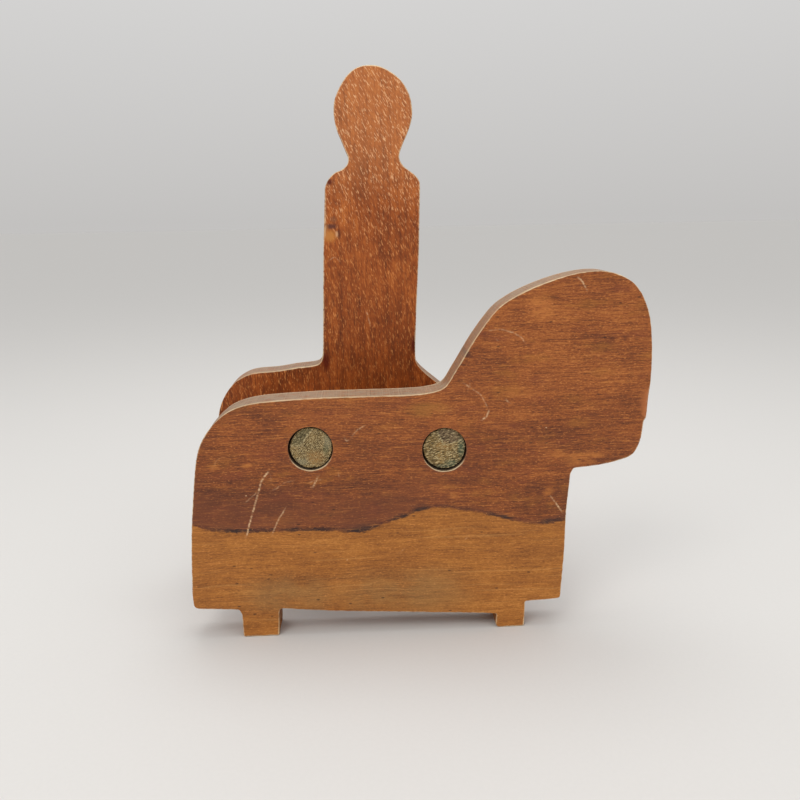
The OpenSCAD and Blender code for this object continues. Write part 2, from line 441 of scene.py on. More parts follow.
def dowel(name, node, material, lean, streak, facet, shift, seed):
    """A glued cross dowel with rough, ragged ends.

    lean is the angle of the torn fibres on its ends and streak how many times longer than wide
    they are. facet is a lower, smoother part of an end, on the outer side of two lines; each
    line is given by the direction it faces, in degrees, and its distance from the middle.
    shift is how far an end's rim stands off the middle of its hole.
    """
    rng = random.Random(seed)
    low, high = (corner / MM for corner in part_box(node))
    centre = np.array([(low.x + high.x) / 2, (low.z + high.z) / 2])
    full = (high.x - low.x) / 2
    turn, spoke = circle(DOWEL_POINTS)
    low_side = fade(-spoke[:, 1], 0.2, 0.9)
    piece = Piece(name)
    a = math.radians(lean)

    def tufts(points, tag):
        """Height of the torn fibres, from 0 to 1."""
        off = points - centre
        stretched = np.column_stack([
            (off[:, 0] * math.cos(a) - off[:, 1] * math.sin(a)) / streak,
            off[:, 0] * math.sin(a) + off[:, 1] * math.cos(a)])
        fine = ripple(stretched, 1 / 0.42, seed + tag)
        broad = ripple(stretched, 1 / 1.1, seed + tag + 1)
        return np.clip(0.5 + 0.75 * fine + 0.45 * broad, 0, 1)

    def past_lines(points):
        """Distance past the nearer of the facet's two lines, below 0 outside the facet."""
        off = points - centre
        gaps = []
        for facing, apart in facet:
            way = math.radians(facing)
            gaps.append(off[:, 0] * math.cos(way) + off[:, 1] * math.sin(way) - apart)
        return np.minimum(*gaps) + 0.35 * ripple(points, 1 / 1.5, seed + 30)

    end_rings = {}
    for far in (False, True):
        end_y, inward = (high.y, -1) if far else (low.y, 1)
        rag = 0.45 * ripple(spoke * full, 1 / 6, seed + 1 + far)
        rag += 0.25 * ripple(spoke * full, 1 / 1.3, seed + 2 + far)
        rag += (0.2 + 0.35 * low_side) * ripple(spoke * full, 1 / 0.55, seed + 4 + far)
        # radius short of full, depth below the end, and how much each follows the ragged rim
        steps = [(1.0, 0.12, 1.0), (0.8, 0.42, 0.9), (0.5, 0.85, 0.6), (0.2, 1.35, 0.25), (0.05, 2.0, 0)]
        rings = []
        for short, depth, follow in steps:
            off = np.array(shift) * (-0.7 if far else 1) * follow
            radius = np.minimum(full - short + follow * rag, full - 0.05 - np.hypot(*off))
            ring = centre + off + spoke * radius[:, None]
            drop = depth + follow * 0.2 * np.abs(ripple(ring, 1 / 0.6, seed + 6))
            rings.append(piece.add(
                ring, end_y + inward * drop, edge=follow, bore=fade(depth, 0.1, 1.2)))
        for ring_a, ring_b in zip(rings, rings[1:]):
            piece.band(ring_a, ring_b)
        rim = np.vstack(piece.points)[rings[0]][:, [0, 2]]
        grid = scattered(centre - full, centre + full, END_STEP, 0.2, rng)
        gap = nearest(rim, grid)
        kept = inside(rim, grid) & (gap > 0.2)
        grid, gap = grid[kept], gap[kept]
        height = tufts(grid, 10 * far)
        past = past_lines(grid)
        lower = fade(past, -0.3, 0.5)
        ridge = fade(np.abs(past + 0.2), 0.55, 0.1)
        drop = 0.02 + 0.2 * (1 - height) * (1 - 0.6 * lower) + 0.22 * lower
        drop = (drop + 0.1 * fade(gap, 1.2, 0)) * (1 - 0.5 * ridge)
        loose = piece.add(
            grid, end_y + inward * drop, edge=1, scratch=height, chip=lower, worn=ridge)
        piece.fill([rings[0]], loose, lambda c: inside(rim, c))
        end_rings[far] = (rings[-1], end_y + inward * steps[-1][1])
    near_ring, near_y = end_rings[False]
    far_ring, far_y = end_rings[True]
    last = near_ring
    for row in range(1, DOWEL_ROWS):
        y = near_y + (far_y - near_y) * row / DOWEL_ROWS
        where = np.column_stack([turn * full, np.full(len(turn), y)])
        dip = 0.05 + 0.04 * (1 + ripple(where * [1, 0.1], 1 / 3, seed + 20))
        dip += 0.03 * (1 + ripple(where, 1 / 15, seed + 21))
        ring = piece.add(centre + spoke * (full - dip)[:, None], y, along=turn * full)
        piece.band(last, ring)
        last = ring
    piece.band(last, far_ring)
    made = piece.build(material)
    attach(made, "root")
    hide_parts(node)
    return made


# ---------------------------------------------------------------- shader helper


def colour(red, green, blue):
    """Linear colour from the usual 0 to 255 values."""
    def linear(value):
        v = value / 255
        return v / 12.92 if v <= 0.04045 else ((v + 0.055) / 1.055) ** 2.4
    return (linear(red), linear(green), linear(blue), 1)


class Shader:
    """Short ways to add nodes to one material. A value may be a number, a colour or a socket."""

    def __init__(self, name):
        self.material = bpy.data.materials.new(name)
        self.material.use_nodes = True
        self.tree = self.material.node_tree
        self.tree.nodes.clear()
        self.out = self.node("ShaderNodeOutputMaterial")
        self.place = self.node("ShaderNodeTexCoord").outputs["Object"]

    def node(self, kind, inputs=None, **settings):
        made = self.tree.nodes.new(kind)
        for key, value in settings.items():
            setattr(made, key, value)
        for key, value in (inputs or {}).items():
            self.put(made.inputs[key], value)
        return made

    def put(self, socket, value):
        if isinstance(value, bpy.types.NodeSocket):
            self.tree.links.new(value, socket)
        else:
            socket.default_value = value

    def math(self, operation, a, b=0.0, clamp=False):
        made = self.node("ShaderNodeMath", {0: a, 1: b}, operation=operation, use_clamp=clamp)
        return made.outputs[0]

    def times(self, a, b):
        return self.math("MULTIPLY", a, b)

    def vector(self, operation, a, b=(0, 0, 0)):
        return self.node("ShaderNodeVectorMath", {0: a, 1: b}, operation=operation).outputs[0]

    def scaled(self, place, scale, shift=(0, 0, 0)):
        """The place in millimetres, times a scale on each axis."""
        made = self.node("ShaderNodeMapping", {
            "Vector": place, "Scale": tuple(s / MM for s in scale), "Location": shift})
        return made.outputs[0]

    def noise(self, place, scale, detail=2.0, rough=0.5, shift=(0, 0, 0)):
        made = self.node("ShaderNodeTexNoise", {
            "Vector": self.scaled(place, scale, shift), "Scale": 1.0, "Detail": detail,
            "Roughness": rough})
        return made.outputs["Fac"]

    def cells(self, place, scale, shift=(0, 0, 0), disorder=1.0):
        """Distance to the middle of each cell, and a random value for each cell."""
        made = self.node("ShaderNodeTexVoronoi", {
            "Vector": self.scaled(place, scale, shift), "Scale": 1.0, "Randomness": disorder})
        chance = self.node("ShaderNodeSeparateColor", {0: made.outputs["Color"]})
        return made.outputs["Distance"], chance.outputs[0]

    def fade(self, value, start, end):
        made = self.node(
            "ShaderNodeMapRange", {"Value": value, "From Min": start, "From Max": end},
            interpolation_type="SMOOTHSTEP")
        return made.outputs["Result"]

    def mix(self, share, a, b):
        made = self.node("ShaderNodeMix", data_type="RGBA")
        for index, value in ((0, share), (6, a), (7, b)):
            self.put(made.inputs[index], value)
        return made.outputs[2]

    def ramp(self, value, stops):
        made = self.node("ShaderNodeValToRGB", {"Fac": value})
        elements = made.color_ramp.elements
        while len(elements) < len(stops):
            elements.new(0.5)
        for element, (place, tint) in zip(elements, stops):
            element.position, element.color = place, tint
        return made.outputs["Color"]

    def mark(self, name):
        """A value that the mesh holds at each of its points."""
        return self.node("ShaderNodeAttribute", attribute_name=name).outputs["Fac"]

    def spot(self, x, z, half_w, half_h):
        """1 in the middle of an upright oval patch at x, z, fading to 0 at its rim."""
        apart = self.vector("SUBTRACT", self.place, (x * MM, 0, z * MM))
        apart = self.vector("MULTIPLY", apart, (1 / (half_w * MM), 0, 1 / (half_h * MM)))
        length = self.node("ShaderNodeVectorMath", {0: apart}, operation="LENGTH").outputs["Value"]
        return self.fade(length, 1.0, 0.25)

    def spots(self, places):
        total = 0.0
        for place in places:
            total = self.math("MAXIMUM", total, self.spot(*place))
        return total

    def bump(self, height, distance, under=None):
        """Normal of a surface whose height varies by the given distance in millimetres."""
        inputs = {"Height": height, "Distance": distance * MM, "Strength": 1.0}
        if under is not None:
            inputs["Normal"] = under
        return self.node("ShaderNodeBump", inputs).outputs[0]

    def surface(self, tint, roughness, normal, **fixed):
        inputs = {"Base Color": tint, "Roughness": roughness, "Normal": normal}
        inputs.update({key.replace("_", " "): value for key, value in fixed.items()})
        shader = self.node("ShaderNodeBsdfPrincipled", inputs)
        self.tree.links.new(shader.outputs[0], self.out.inputs["Surface"])
        return self.material


# ---------------------------------------------------------------- materials

# pale arris tint: part bare rubbed wood, part painted highlight
PALE_WEAR_AND_GLINT = colour(226, 200, 158)
# pale film on faces that point up: part dust, part painted top light
DUST_AND_TOP_LIGHT = colour(152, 139, 118)
PALE_SCRATCH = colour(226, 186, 142)


def edge_finish(s, tint, bare, dust_and_light_share, grain):
    """Sawn edges: barer wood with saw lines, a pale rubbed arris that is partly painted highlight, and a
    dusty film with painted top light where they face up.
    """
    edge = s.mark("edge")
    lines = s.node(
        "ShaderNodeTexNoise",
        {"W": s.mark("along"), "Scale": 1.5, "Detail": 3.0, "Roughness": 0.7},
        noise_dimensions="1D").outputs["Fac"]
    cloud = s.noise(s.place, grain, 5, 0.6)
    sawn = s.mix(s.fade(cloud, 0.25, 0.75), bare, tint)
    sawn = s.mix(s.times(s.fade(lines, 0.5, 0.3), 0.35), sawn, colour(78, 48, 30))
    tint = s.mix(s.times(s.fade(edge, 0.3, 1.0), 0.85), tint, sawn)
    normal = s.node("ShaderNodeNewGeometry").outputs["Normal"]
    facing = s.node("ShaderNodeSeparateXYZ", {0: normal}).outputs["Z"]
    film = s.noise(s.place, (0.16, 0.35, 0.16), 4, 0.7, (4, 4, 4))
    cover = s.math("ADD", 0.35, s.times(s.fade(film, 0.3, 0.6), 0.65))
    # the film is laid on where a face points up: part dust, part painted top light
    dust_and_top_light = s.times(s.fade(facing, 0.1, 0.9), cover)
    tint = s.mix(s.times(dust_and_top_light, dust_and_light_share), tint, DUST_AND_TOP_LIGHT)
    streaky = s.times(dust_and_top_light, s.fade(film, 0.62, 0.4))
    dark_lines = s.times(s.fade(lines, 0.46, 0.3), streaky)
    tint = s.mix(s.times(dark_lines, 0.45), tint, colour(96, 78, 58))
    light_lines = s.times(s.fade(lines, 0.58, 0.72), streaky)
    tint = s.mix(s.times(light_lines, 0.4), tint, colour(206, 188, 160))
    # pale arrises, paler still where they face up: part wear, part painted highlight from the light above
    patchy = s.fade(s.noise(s.place, (0.5, 0.5, 0.5), 3), 0.3, 0.55)
    patchy = s.math("MAXIMUM", patchy, s.times(s.fade(facing, 0.15, 0.5), 0.9))
    tint = s.mix(s.times(s.times(s.mark("worn"), patchy), 0.95), tint, PALE_WEAR_AND_GLINT)
    return tint, edge, lines


def damage(s, tint, chip_tint, bore_tint):
    """Colours of broken edges, scratches, and the insides of the holes, darkened with painted shade and
    some dirt.
    """
    tint = s.mix(s.times(s.mark("chip"), 0.8), tint, chip_tint)
    tint = s.mix(s.times(s.mark("scratch"), 0.9), tint, PALE_SCRATCH)
    # the bore walls and the inner lip of each hole are darkened: painted shade inside the hole, with some
    # dirt
    return s.mix(s.times(s.fade(s.mark("bore"), 0.55, 0.95), 0.85), tint, bore_tint)


def varnish_bumps(s, fibre, dash, lines, edge, gloss):
    """Normal of a varnished board: raised grain, saw lines on its edges and an uneven coat."""
    normal = s.bump(stacked(s, (fibre, 0.6), (dash, 0.6)), 0.1)
    normal = s.bump(s.times(lines, edge), 0.22, normal)
    return s.bump(gloss, 0.25, normal)


def stacked(s, *parts):
    """Adds noises together: each part is a noise and its weight; the result stays near 0.5."""
    total = 0.5
    for value, weight in parts:
        total = s.math("ADD", total, s.times(s.math("SUBTRACT", value, 0.5), weight))
    return total


# the border between heartwood and sapwood on the horse board, as (x, z)
BORDER_POINTS = [
    (-116, 64.5), (-110, 61.2), (-104, 59.2), (-96, 58.2), (-85, 57.7), (-60, 57.4), (-45, 57),
    (-31, 56), (-24, 57), (-14, 60.8), (-8, 62.6), (1, 66.2), (13, 67.5), (22, 66), (36, 62.8),
    (46, 59.9), (58, 57.4), (65, 56.9), (76, 59.4)]
BORDER_TOP = 100  # a height above every point of the border


def height_along(s, x, points):
    """Height, for each x, of a smooth curve through the points; all are in millimetres."""
    first, last = points[0][0], points[-1][0]
    share = s.math("DIVIDE", s.math("SUBTRACT", x, first), last - first, clamp=True)
    curve = s.node("ShaderNodeFloatCurve", {"Value": share})
    line = curve.mapping.curves[0]
    ends = [line.points[0], line.points[1]]
    for point, (px, pz) in zip(ends, (points[0], points[-1])):
        point.location = ((px - first) / (last - first), pz / BORDER_TOP)
    for px, pz in points[1:-1]:
        line.points.new((px - first) / (last - first), pz / BORDER_TOP)
    curve.mapping.update()
    return s.times(curve.outputs[0], BORDER_TOP)


def horse_wood():
    """Horizontal grain: reddish heartwood above, paler sapwood below a dark wavy border."""
    s = Shader("horse_wood")
    sway = s.noise(s.place, (0.014, 0.02, 0.03), 2)
    shift = s.node("ShaderNodeCombineXYZ", {"Z": s.times(sway, 6 * MM)}).outputs[0]
    grain_place = s.vector("ADD", s.place, shift)
    fibre = s.noise(grain_place, (0.08, 1.0, 1.6), 4, 0.7)
    dash = s.noise(grain_place, (0.32, 1.2, 1.7), 3, 0.65, (3, 1, 7))
    bands = s.noise(grain_place, (0.012, 0.2, 0.17), 3, 0.55)
    mottle = s.noise(grain_place, (0.1, 0.2, 0.24), 5, 0.65, (1, 5, 2))
    patch = s.noise(s.place, (0.035, 0.05, 0.055), 3, 0.55)
    grit = s.noise(s.place, (0.8, 1.2, 2.0), 2, 0.6, (7, 3, 3))
    hue = s.noise(grain_place, (0.05, 0.1, 0.12), 4, 0.6, (6, 2, 8))
    x, _, z = s.node("ShaderNodeSeparateXYZ", {0: s.scaled(s.place, (1, 1, 1))}).outputs

    tone = stacked(
        s, (bands, 0.26), (mottle, 0.24), (patch, 0.3), (fibre, 0.35), (dash, 0.4), (grit, 0.5))
    tone = s.math("ADD", tone, s.times(s.times(s.fade(z, 97, 122), s.fade(x, -90, -50)), 0.07))
    # lighter towards the top of the head: partly painted light from above
    tone = s.math("ADD", tone, s.times(s.fade(z, 140, 178), 0.05))
    tone = s.math("SUBTRACT", tone, s.times(s.fade(x, -50, -100), 0.03))
    clear = s.spots([
        (-100, 92, 4, 2.2), (-84, 92, 4, 2), (60, 166, 10, 9), (84, 91, 14, 5), (71, 93, 8, 2.5),
        (66, 74, 3.5, 3.5), (19, 73, 5, 3), (47, 120, 4, 2.2), (-106, 116, 9, 5), (8, 118, 14, 4)])
    stain = s.spots([
        (-69, 117, 14, 6), (-76, 72, 30, 16), (-28, 75, 40, 14), (25, 145, 3.5, 3), (64, 70, 24, 16),
        (-104, 72, 12, 20), (88, 150, 18, 8)])
    tone = s.math("ADD", tone, s.times(clear, 0.1))
    darker = s.math("ADD", 0.04, s.times(s.fade(mottle, 0.65, 0.4), 0.06))
    tone = s.math("SUBTRACT", tone, s.times(stain, darker))
    heart = s.ramp(tone, [
        (0.26, colour(88, 46, 27)), (0.4, colour(109, 57, 29)), (0.5, colour(130, 69, 32)),
        (0.6, colour(151, 83, 37)), (0.76, colour(182, 108, 52))])
    heart = s.mix(s.times(s.fade(hue, 0.54, 0.7), 0.5), heart, colour(160, 98, 38))
    heart = s.mix(s.times(s.fade(hue, 0.46, 0.3), 0.45), heart, colour(124, 60, 36))

    sap_tone = stacked(
        s, (bands, 0.35), (mottle, 0.3), (patch, 0.3), (fibre, 0.35), (dash, 0.35), (grit, 0.5))
    sap = s.ramp(sap_tone, [
        (0.26, colour(122, 72, 29)), (0.42, colour(150, 91, 37)), (0.56, colour(172, 108, 44)),
        (0.76, colour(200, 136, 66))])
    soiled = s.spots([(-8, 22, 52, 20), (-66, 22, 34, 18)])
    soiled = s.times(soiled, s.fade(patch, 0.3, 0.6))
    sap = s.mix(s.times(soiled, 0.5), sap, colour(134, 106, 66))
    raised = s.fade(s.noise(grain_place, (0.016, 0.3, 0.75), 2, 0.5, (5, 5, 5)), 0.62, 0.7)
    sap = s.mix(s.times(raised, 0.2), sap, colour(214, 160, 92))

    border = height_along(s, x, BORDER_POINTS)
    jitter = s.times(s.math("SUBTRACT", s.noise(s.place, (0.3, 0.3, 0.5), 5, 0.7), 0.5), 3.2)
    above = s.math("ADD", s.math("SUBTRACT", z, border), jitter)
    tint = s.mix(s.fade(above, -0.9, 0.7), sap, heart)

    # a dark smear above the border, and the dark line and knots on it
    reach = s.fade(s.noise(s.place, (0.03, 0.1, 0), 2, 0.5, (2, 0, 0)), 0.35, 0.65)
    reach = s.math("ADD", 1.5, s.times(reach, 9))
    smear = s.times(s.fade(above, -0.6, 0.8), s.fade(s.math("DIVIDE", above, reach), 1.3, 0.1))
    streaks = s.fade(s.noise(grain_place, (0.05, 0.3, 0.5), 4, 0.65), 0.3, 0.6)
    tint = s.mix(s.times(s.times(smear, streaks), 0.5), tint, colour(84, 48, 40))
    core = s.fade(s.math("ABSOLUTE", s.math("SUBTRACT", above, 0.6)), 1.5, 0.5)
    bold = s.spots([
        (-86, 58, 26, 6), (-58, 57.5, 22, 6), (-28, 57, 14, 6), (-9, 62.5, 9, 5), (1, 66, 7, 5),
        (38, 62.5, 5, 4), (45, 60, 5, 4), (68, 57.5, 10, 5)])
    strength = s.times(s.fade(s.noise(s.place, (0.09, 0.1, 0.3), 4, 0.7), 0.3, 0.6), 0.75)
    strength = s.times(strength, s.math("ADD", s.times(bold, 0.7), 0.3))
    strength = s.math("ADD", strength, s.times(bold, 0.3))
    tint = s.mix(s.times(core, strength), tint, colour(44, 29, 28))
    knots = s.spots([
        (-25, 58, 13, 3.5), (-8, 63.5, 5, 3), (1, 67.6, 6, 3.2), (66, 58, 6, 2.6), (43, 61, 4, 2)])
    knots = s.times(s.times(knots, s.fade(mottle, 0.3, 0.55)), s.fade(above, -0.9, 0.8))
    tint = s.mix(s.times(knots, 0.8), tint, colour(58, 40, 34))

    # fine fibres and short rays
    shade = s.mix(s.fade(above, -0.5, 0.5), colour(112, 66, 28), colour(66, 34, 18))
    tint = s.mix(s.times(s.fade(fibre, 0.48, 0.28), 0.5), tint, shade)
    tint = s.mix(s.times(s.fade(fibre, 0.54, 0.72), 0.5), tint, colour(200, 128, 62))
    tint = s.mix(s.times(s.fade(dash, 0.44, 0.28), 0.5), tint, shade)
    tint = s.mix(s.times(s.fade(dash, 0.58, 0.72), 0.5), tint, colour(208, 136, 70))
    tint = s.mix(s.times(s.fade(grit, 0.62, 0.72), 0.5), tint, colour(218, 148, 84))

    # orange, olive and dark patches of the heartwood
    glow = s.spots([
        (84, 91, 16, 5.5), (70, 94, 9, 3), (60, 166, 11, 9), (66, 74, 4, 3.5), (19, 73, 5, 3)])
    glow = s.times(s.times(glow, s.fade(mottle, 0.44, 0.6)), s.fade(above, 0, 1))
    glow = s.math("MAXIMUM", glow, s.spots([(-100, 92, 3.2, 1.5), (-84.5, 92, 3.5, 1.4)]))
    tint = s.mix(s.times(glow, 0.42), tint, colour(188, 118, 54))
    olive = s.times(s.spot(6, 118, 15, 6), s.fade(mottle, 0.3, 0.6))
    tint = s.mix(s.times(olive, 0.45), tint, colour(140, 98, 38))
    tint = s.mix(s.times(s.spot(25, 145, 2.2, 2), 0.65), tint, colour(62, 40, 34))
    # the grain is calmer, and the tint evener, in the heartwood just above the border
    calm = s.times(s.times(s.fade(above, 0.5, 3), s.fade(above, 26, 10)), s.fade(x, 30, -10))
    tint = s.mix(s.times(calm, 0.42), tint, colour(116, 64, 40))

    # dark pores and pale flecks
    pore, chance = s.cells(s.place, (0.12, 0.1, 0.3), (2, 2, 2))
    pores = s.times(s.fade(pore, 0.16, 0.05), s.fade(chance, 0.6, 0.75))
    tint = s.mix(s.times(pores, 0.7), tint, colour(42, 24, 20))
    fleck, chance = s.cells(s.place, (0.06, 0.1, 0.09), (9, 2, 5))
    flecks = s.times(s.fade(fleck, 0.035, 0.01), s.fade(chance, 0.6, 0.7))
    tint = s.mix(s.times(flecks, 0.75), tint, PALE_SCRATCH)

    tint, edge, lines = edge_finish(s, tint, colour(142, 92, 54), 0.66, (0.04, 0.14, 0.14))
    tint = damage(s, tint, colour(176, 104, 56), colour(34, 22, 16))

    gloss = s.noise(s.place, (0.03, 0.05, 0.05), 4, 0.6)
    rough = s.math("ADD", 0.36, s.times(gloss, 0.26))
    bare = s.math("MAXIMUM", edge, s.mark("scratch"))
    rough = s.math("ADD", rough, s.times(bare, 0.25), clamp=True)
    normal = varnish_bumps(s, fibre, dash, lines, edge, gloss)
    return s.surface(
        tint, rough, normal, Coat_Weight=0.05, Coat_Roughness=0.25, Specular_IOR_Level=0.28)


def rider_wood():
    """Upright grain, stained orange-brown, with many short pale rays that lean on the head."""
    s = Shader("rider_wood")
    # x, y, z and waist are in metres here
    x, y, z = s.node("ShaderNodeSeparateXYZ", {0: s.place}).outputs
    waist = 0.14
    height = s.math("SUBTRACT", z, waist)
    # the rays lean more towards the head: x grows by a slope that itself grows with height
    lean = s.math("ADD", s.times(height, 0.12), s.times(s.times(height, height), 1.5))
    ray_x = s.math("ADD", x, lean)
    ray_place = s.node("ShaderNodeCombineXYZ", {0: ray_x, 1: y, 2: z}).outputs[0]
    fibre = s.noise(s.place, (1.2, 1.0, 0.06), 4, 0.66)
    dash = s.noise(ray_place, (1.3, 1.2, 0.32), 3, 0.65)
    bands = s.noise(s.place, (0.15, 0.2, 0.012), 3, 0.55)
    mottle = s.noise(ray_place, (0.24, 0.2, 0.13), 5, 0.65)
    patch = s.noise(s.place, (0.05, 0.05, 0.03), 3, 0.55)

    tone = stacked(s, (bands, 0.35), (mottle, 0.35), (patch, 0.35), (fibre, 0.3), (dash, 0.4))
    # lighter from the waist up: part the wood's own tone, part painted top light, with painted shade low
    # down behind the horse board
    tone = s.math("ADD", tone, s.times(s.fade(z, 0.13, 0.27), 0.14))
    tone = s.math("SUBTRACT", tone, 0.06)
    tint = s.ramp(tone, [
        (0.26, colour(96, 42, 13)), (0.4, colour(127, 60, 18)), (0.5, colour(150, 74, 24)),
        (0.6, colour(174, 92, 34)), (0.78, colour(204, 123, 56))])
    # the head is paler still: partly painted top light
    tint = s.mix(s.times(s.fade(z, 0.21, 0.25), 0.32), tint, colour(206, 136, 84))
    tint = s.mix(s.times(s.fade(fibre, 0.48, 0.28), 0.35), tint, colour(84, 38, 16))
    tint = s.mix(s.times(s.fade(dash, 0.46, 0.3), 0.3), tint, colour(88, 40, 18))

    # the rays are paler and clearer on the head, and faint on the body in front of the rump
    ray_tint = s.mix(s.fade(z, 0.18, 0.25), colour(222, 146, 80), colour(246, 192, 142))
    ray_share = s.math("ADD", 0.45, s.times(s.fade(z, 0.11, 0.15), 0.4))
    ray_share = s.math("ADD", ray_share, s.times(s.fade(z, 0.2, 0.24), 0.15))
    ray_share = s.math("ADD", ray_share, s.times(s.fade(x, -0.052, -0.07), 0.4))
    for scale, shift, low, strength in (
            ((1.5, 0.8, 0.36), (3, 3, 3), 0.64, 0.75),
            ((1.9, 1.0, 0.45), (8, 1, 4), 0.63, 0.6),
            ((1.2, 0.6, 0.24), (1, 9, 6), 0.67, 0.75)):
        rays = s.fade(s.noise(ray_place, scale, 1, 0.4, shift), low, low + 0.1)
        rays = s.times(rays, ray_share)
        tint = s.mix(s.times(rays, strength), tint, ray_tint)

    # varnish that has pooled in the corners
    pool = s.spots([(-47, 130, 3.2, 8), (-42, 229.5, 3.4, 2.6), (4, 138, 2.6, 7)])
    tint = s.mix(s.times(pool, 0.85), tint, colour(84, 20, 12))
    # a knot at the rider's back, with a break below it that is edged by a dark line
    front = s.fade(y, 0.034, 0.031)
    for place, share, knot_tint in (
            ((-42, 205.6, 5.6, 2.2), 0.9, colour(90, 48, 38)),
            ((-40, 209.5, 3, 2.4), 0.5, colour(128, 82, 54)),
            ((-37.2, 201.6, 1.5, 4), 0.8, colour(84, 36, 18)),
            ((-42.5, 200.4, 5.4, 4.6), 0.9, colour(196, 126, 56)),
            ((-38.4, 201.4, 1.1, 2.4), 0.8, colour(216, 164, 120))):
        tint = s.mix(s.times(s.times(s.spot(*place), front), share), tint, knot_tint)

    tint, edge, lines = edge_finish(s, tint, colour(148, 86, 46), 0.7, (0.14, 0.14, 0.04))
    tint = damage(s, tint, colour(186, 120, 62), colour(34, 20, 16))

    gloss = s.noise(s.place, (0.05, 0.05, 0.03), 4, 0.6)
    rough = s.math("ADD", 0.34, s.times(gloss, 0.26))
    rough = s.math("ADD", rough, s.times(edge, 0.25))
    rough = s.math("SUBTRACT", rough, s.times(pool, 0.22), clamp=True)
    normal = varnish_bumps(s, fibre, dash, lines, edge, gloss)
    return s.surface(
        tint, rough, normal, Coat_Weight=0.05, Coat_Roughness=0.22, Specular_IOR_Level=0.28)


def dowel_wood(name, lean, streak, facet_tint, stains):
    """Pale dowel with grain along it; its bare ends are greyed, dotted or streaked end grain.

    stains is a list of tints, each with the places (x, z, half width, half height) it covers.
    """
    s = Shader(name)
    fibre = s.noise(s.place, (1.3, 0.04, 1.3), 4, 0.6)
    shaft = s.ramp(fibre, [
        (0.3, colour(128, 86, 50)), (0.5, colour(156, 112, 70)), (0.7, colour(180, 138, 92))])
    spread, chance = s.cells(s.place, (1.1, 0.25, 1.1))
    rays = s.times(s.fade(spread, 0.35, 0.15), s.fade(chance, 0.5, 0.7))
    shaft = s.mix(s.times(rays, 0.45), shaft, colour(120, 80, 46))

    turned = s.node("ShaderNodeVectorRotate", {
        "Vector": s.place, "Axis": (0, 1, 0), "Angle": math.radians(-lean)}).outputs[0]
    fine = 0.8 + 0.25 * streak
    tear = s.noise(turned, (fine / streak, 0.3, fine), 3, 0.7)
    spread, chance = s.cells(turned, (1.5 / streak, 0.1, 1.5), disorder=min(1.0, 0.5 * streak))
    tufts = s.fade(spread, 0.52, 0.15)
    cloud = s.noise(s.place, (0.16, 0.1, 0.16), 3, 0.6)
    facet = s.mark("chip")  # dowels keep their facet and its ridge in these two values
    ridge = s.mark("worn")
    end = s.mix(s.fade(cloud, 0.35, 0.65), colour(118, 97, 60), colour(152, 124, 76))
    end = s.mix(s.times(facet, 0.75), end, facet_tint)
    for tint, places in stains:
        end = s.mix(s.times(s.spots(places), 0.65), end, tint)
    gaps = s.times(s.fade(tear, 0.53, 0.37), min(0.95, 0.6 + 0.12 * streak))
    end = s.mix(gaps, end, colour(38, 30, 17))
    lit = s.times(tufts, s.math("ADD", 0.6, s.times(chance, 0.4)))
    lit = s.times(lit, s.math("SUBTRACT", 1.0, s.times(facet, 0.6)))
    end = s.mix(lit, end, colour(228, 202, 150))
    end = s.mix(s.times(s.fade(tear, 0.56, 0.68), 0.85), end, colour(230, 208, 160))
    for tint, places in stains:
        end = s.mix(s.times(s.spots(places), 0.35), end, tint)
    # the raised ridge on a dowel end is paler: part paler fibres, part painted highlight
    ridge = s.times(ridge, s.fade(tear, 0.35, 0.6))
    end = s.mix(s.times(ridge, 0.7), end, colour(206, 190, 148))
    bare = s.fade(s.mark("edge"), 0.25, 0.8)
    tint = s.mix(bare, shaft, end)
    # the sunken rim of each dowel end is darkened: painted shade in the gap round the dowel, with some
    # dirt
    tint = s.mix(s.times(s.fade(s.mark("bore"), 0.25, 0.75), 0.92), tint, colour(36, 23, 13))
    rough = s.math("ADD", 0.5, s.times(bare, 0.35))
    normal = s.bump(fibre, 0.08)
    normal = s.bump(s.times(s.math("ADD", tear, tufts), bare), 0.4, normal)
    return s.surface(tint, rough, normal, Specular_IOR_Level=0.25)


def floor_paint():
    s = Shader("studio_floor")
    speckle = s.noise(s.place, (0.5, 0.5, 0.5), 2)
    tint = s.mix(speckle, colour(207, 205, 202), colour(210, 208, 205))
    return s.surface(tint, 0.8, s.bump(speckle, 0.02), Specular_IOR_Level=0.2)


# ---------------------------------------------------------------- the object

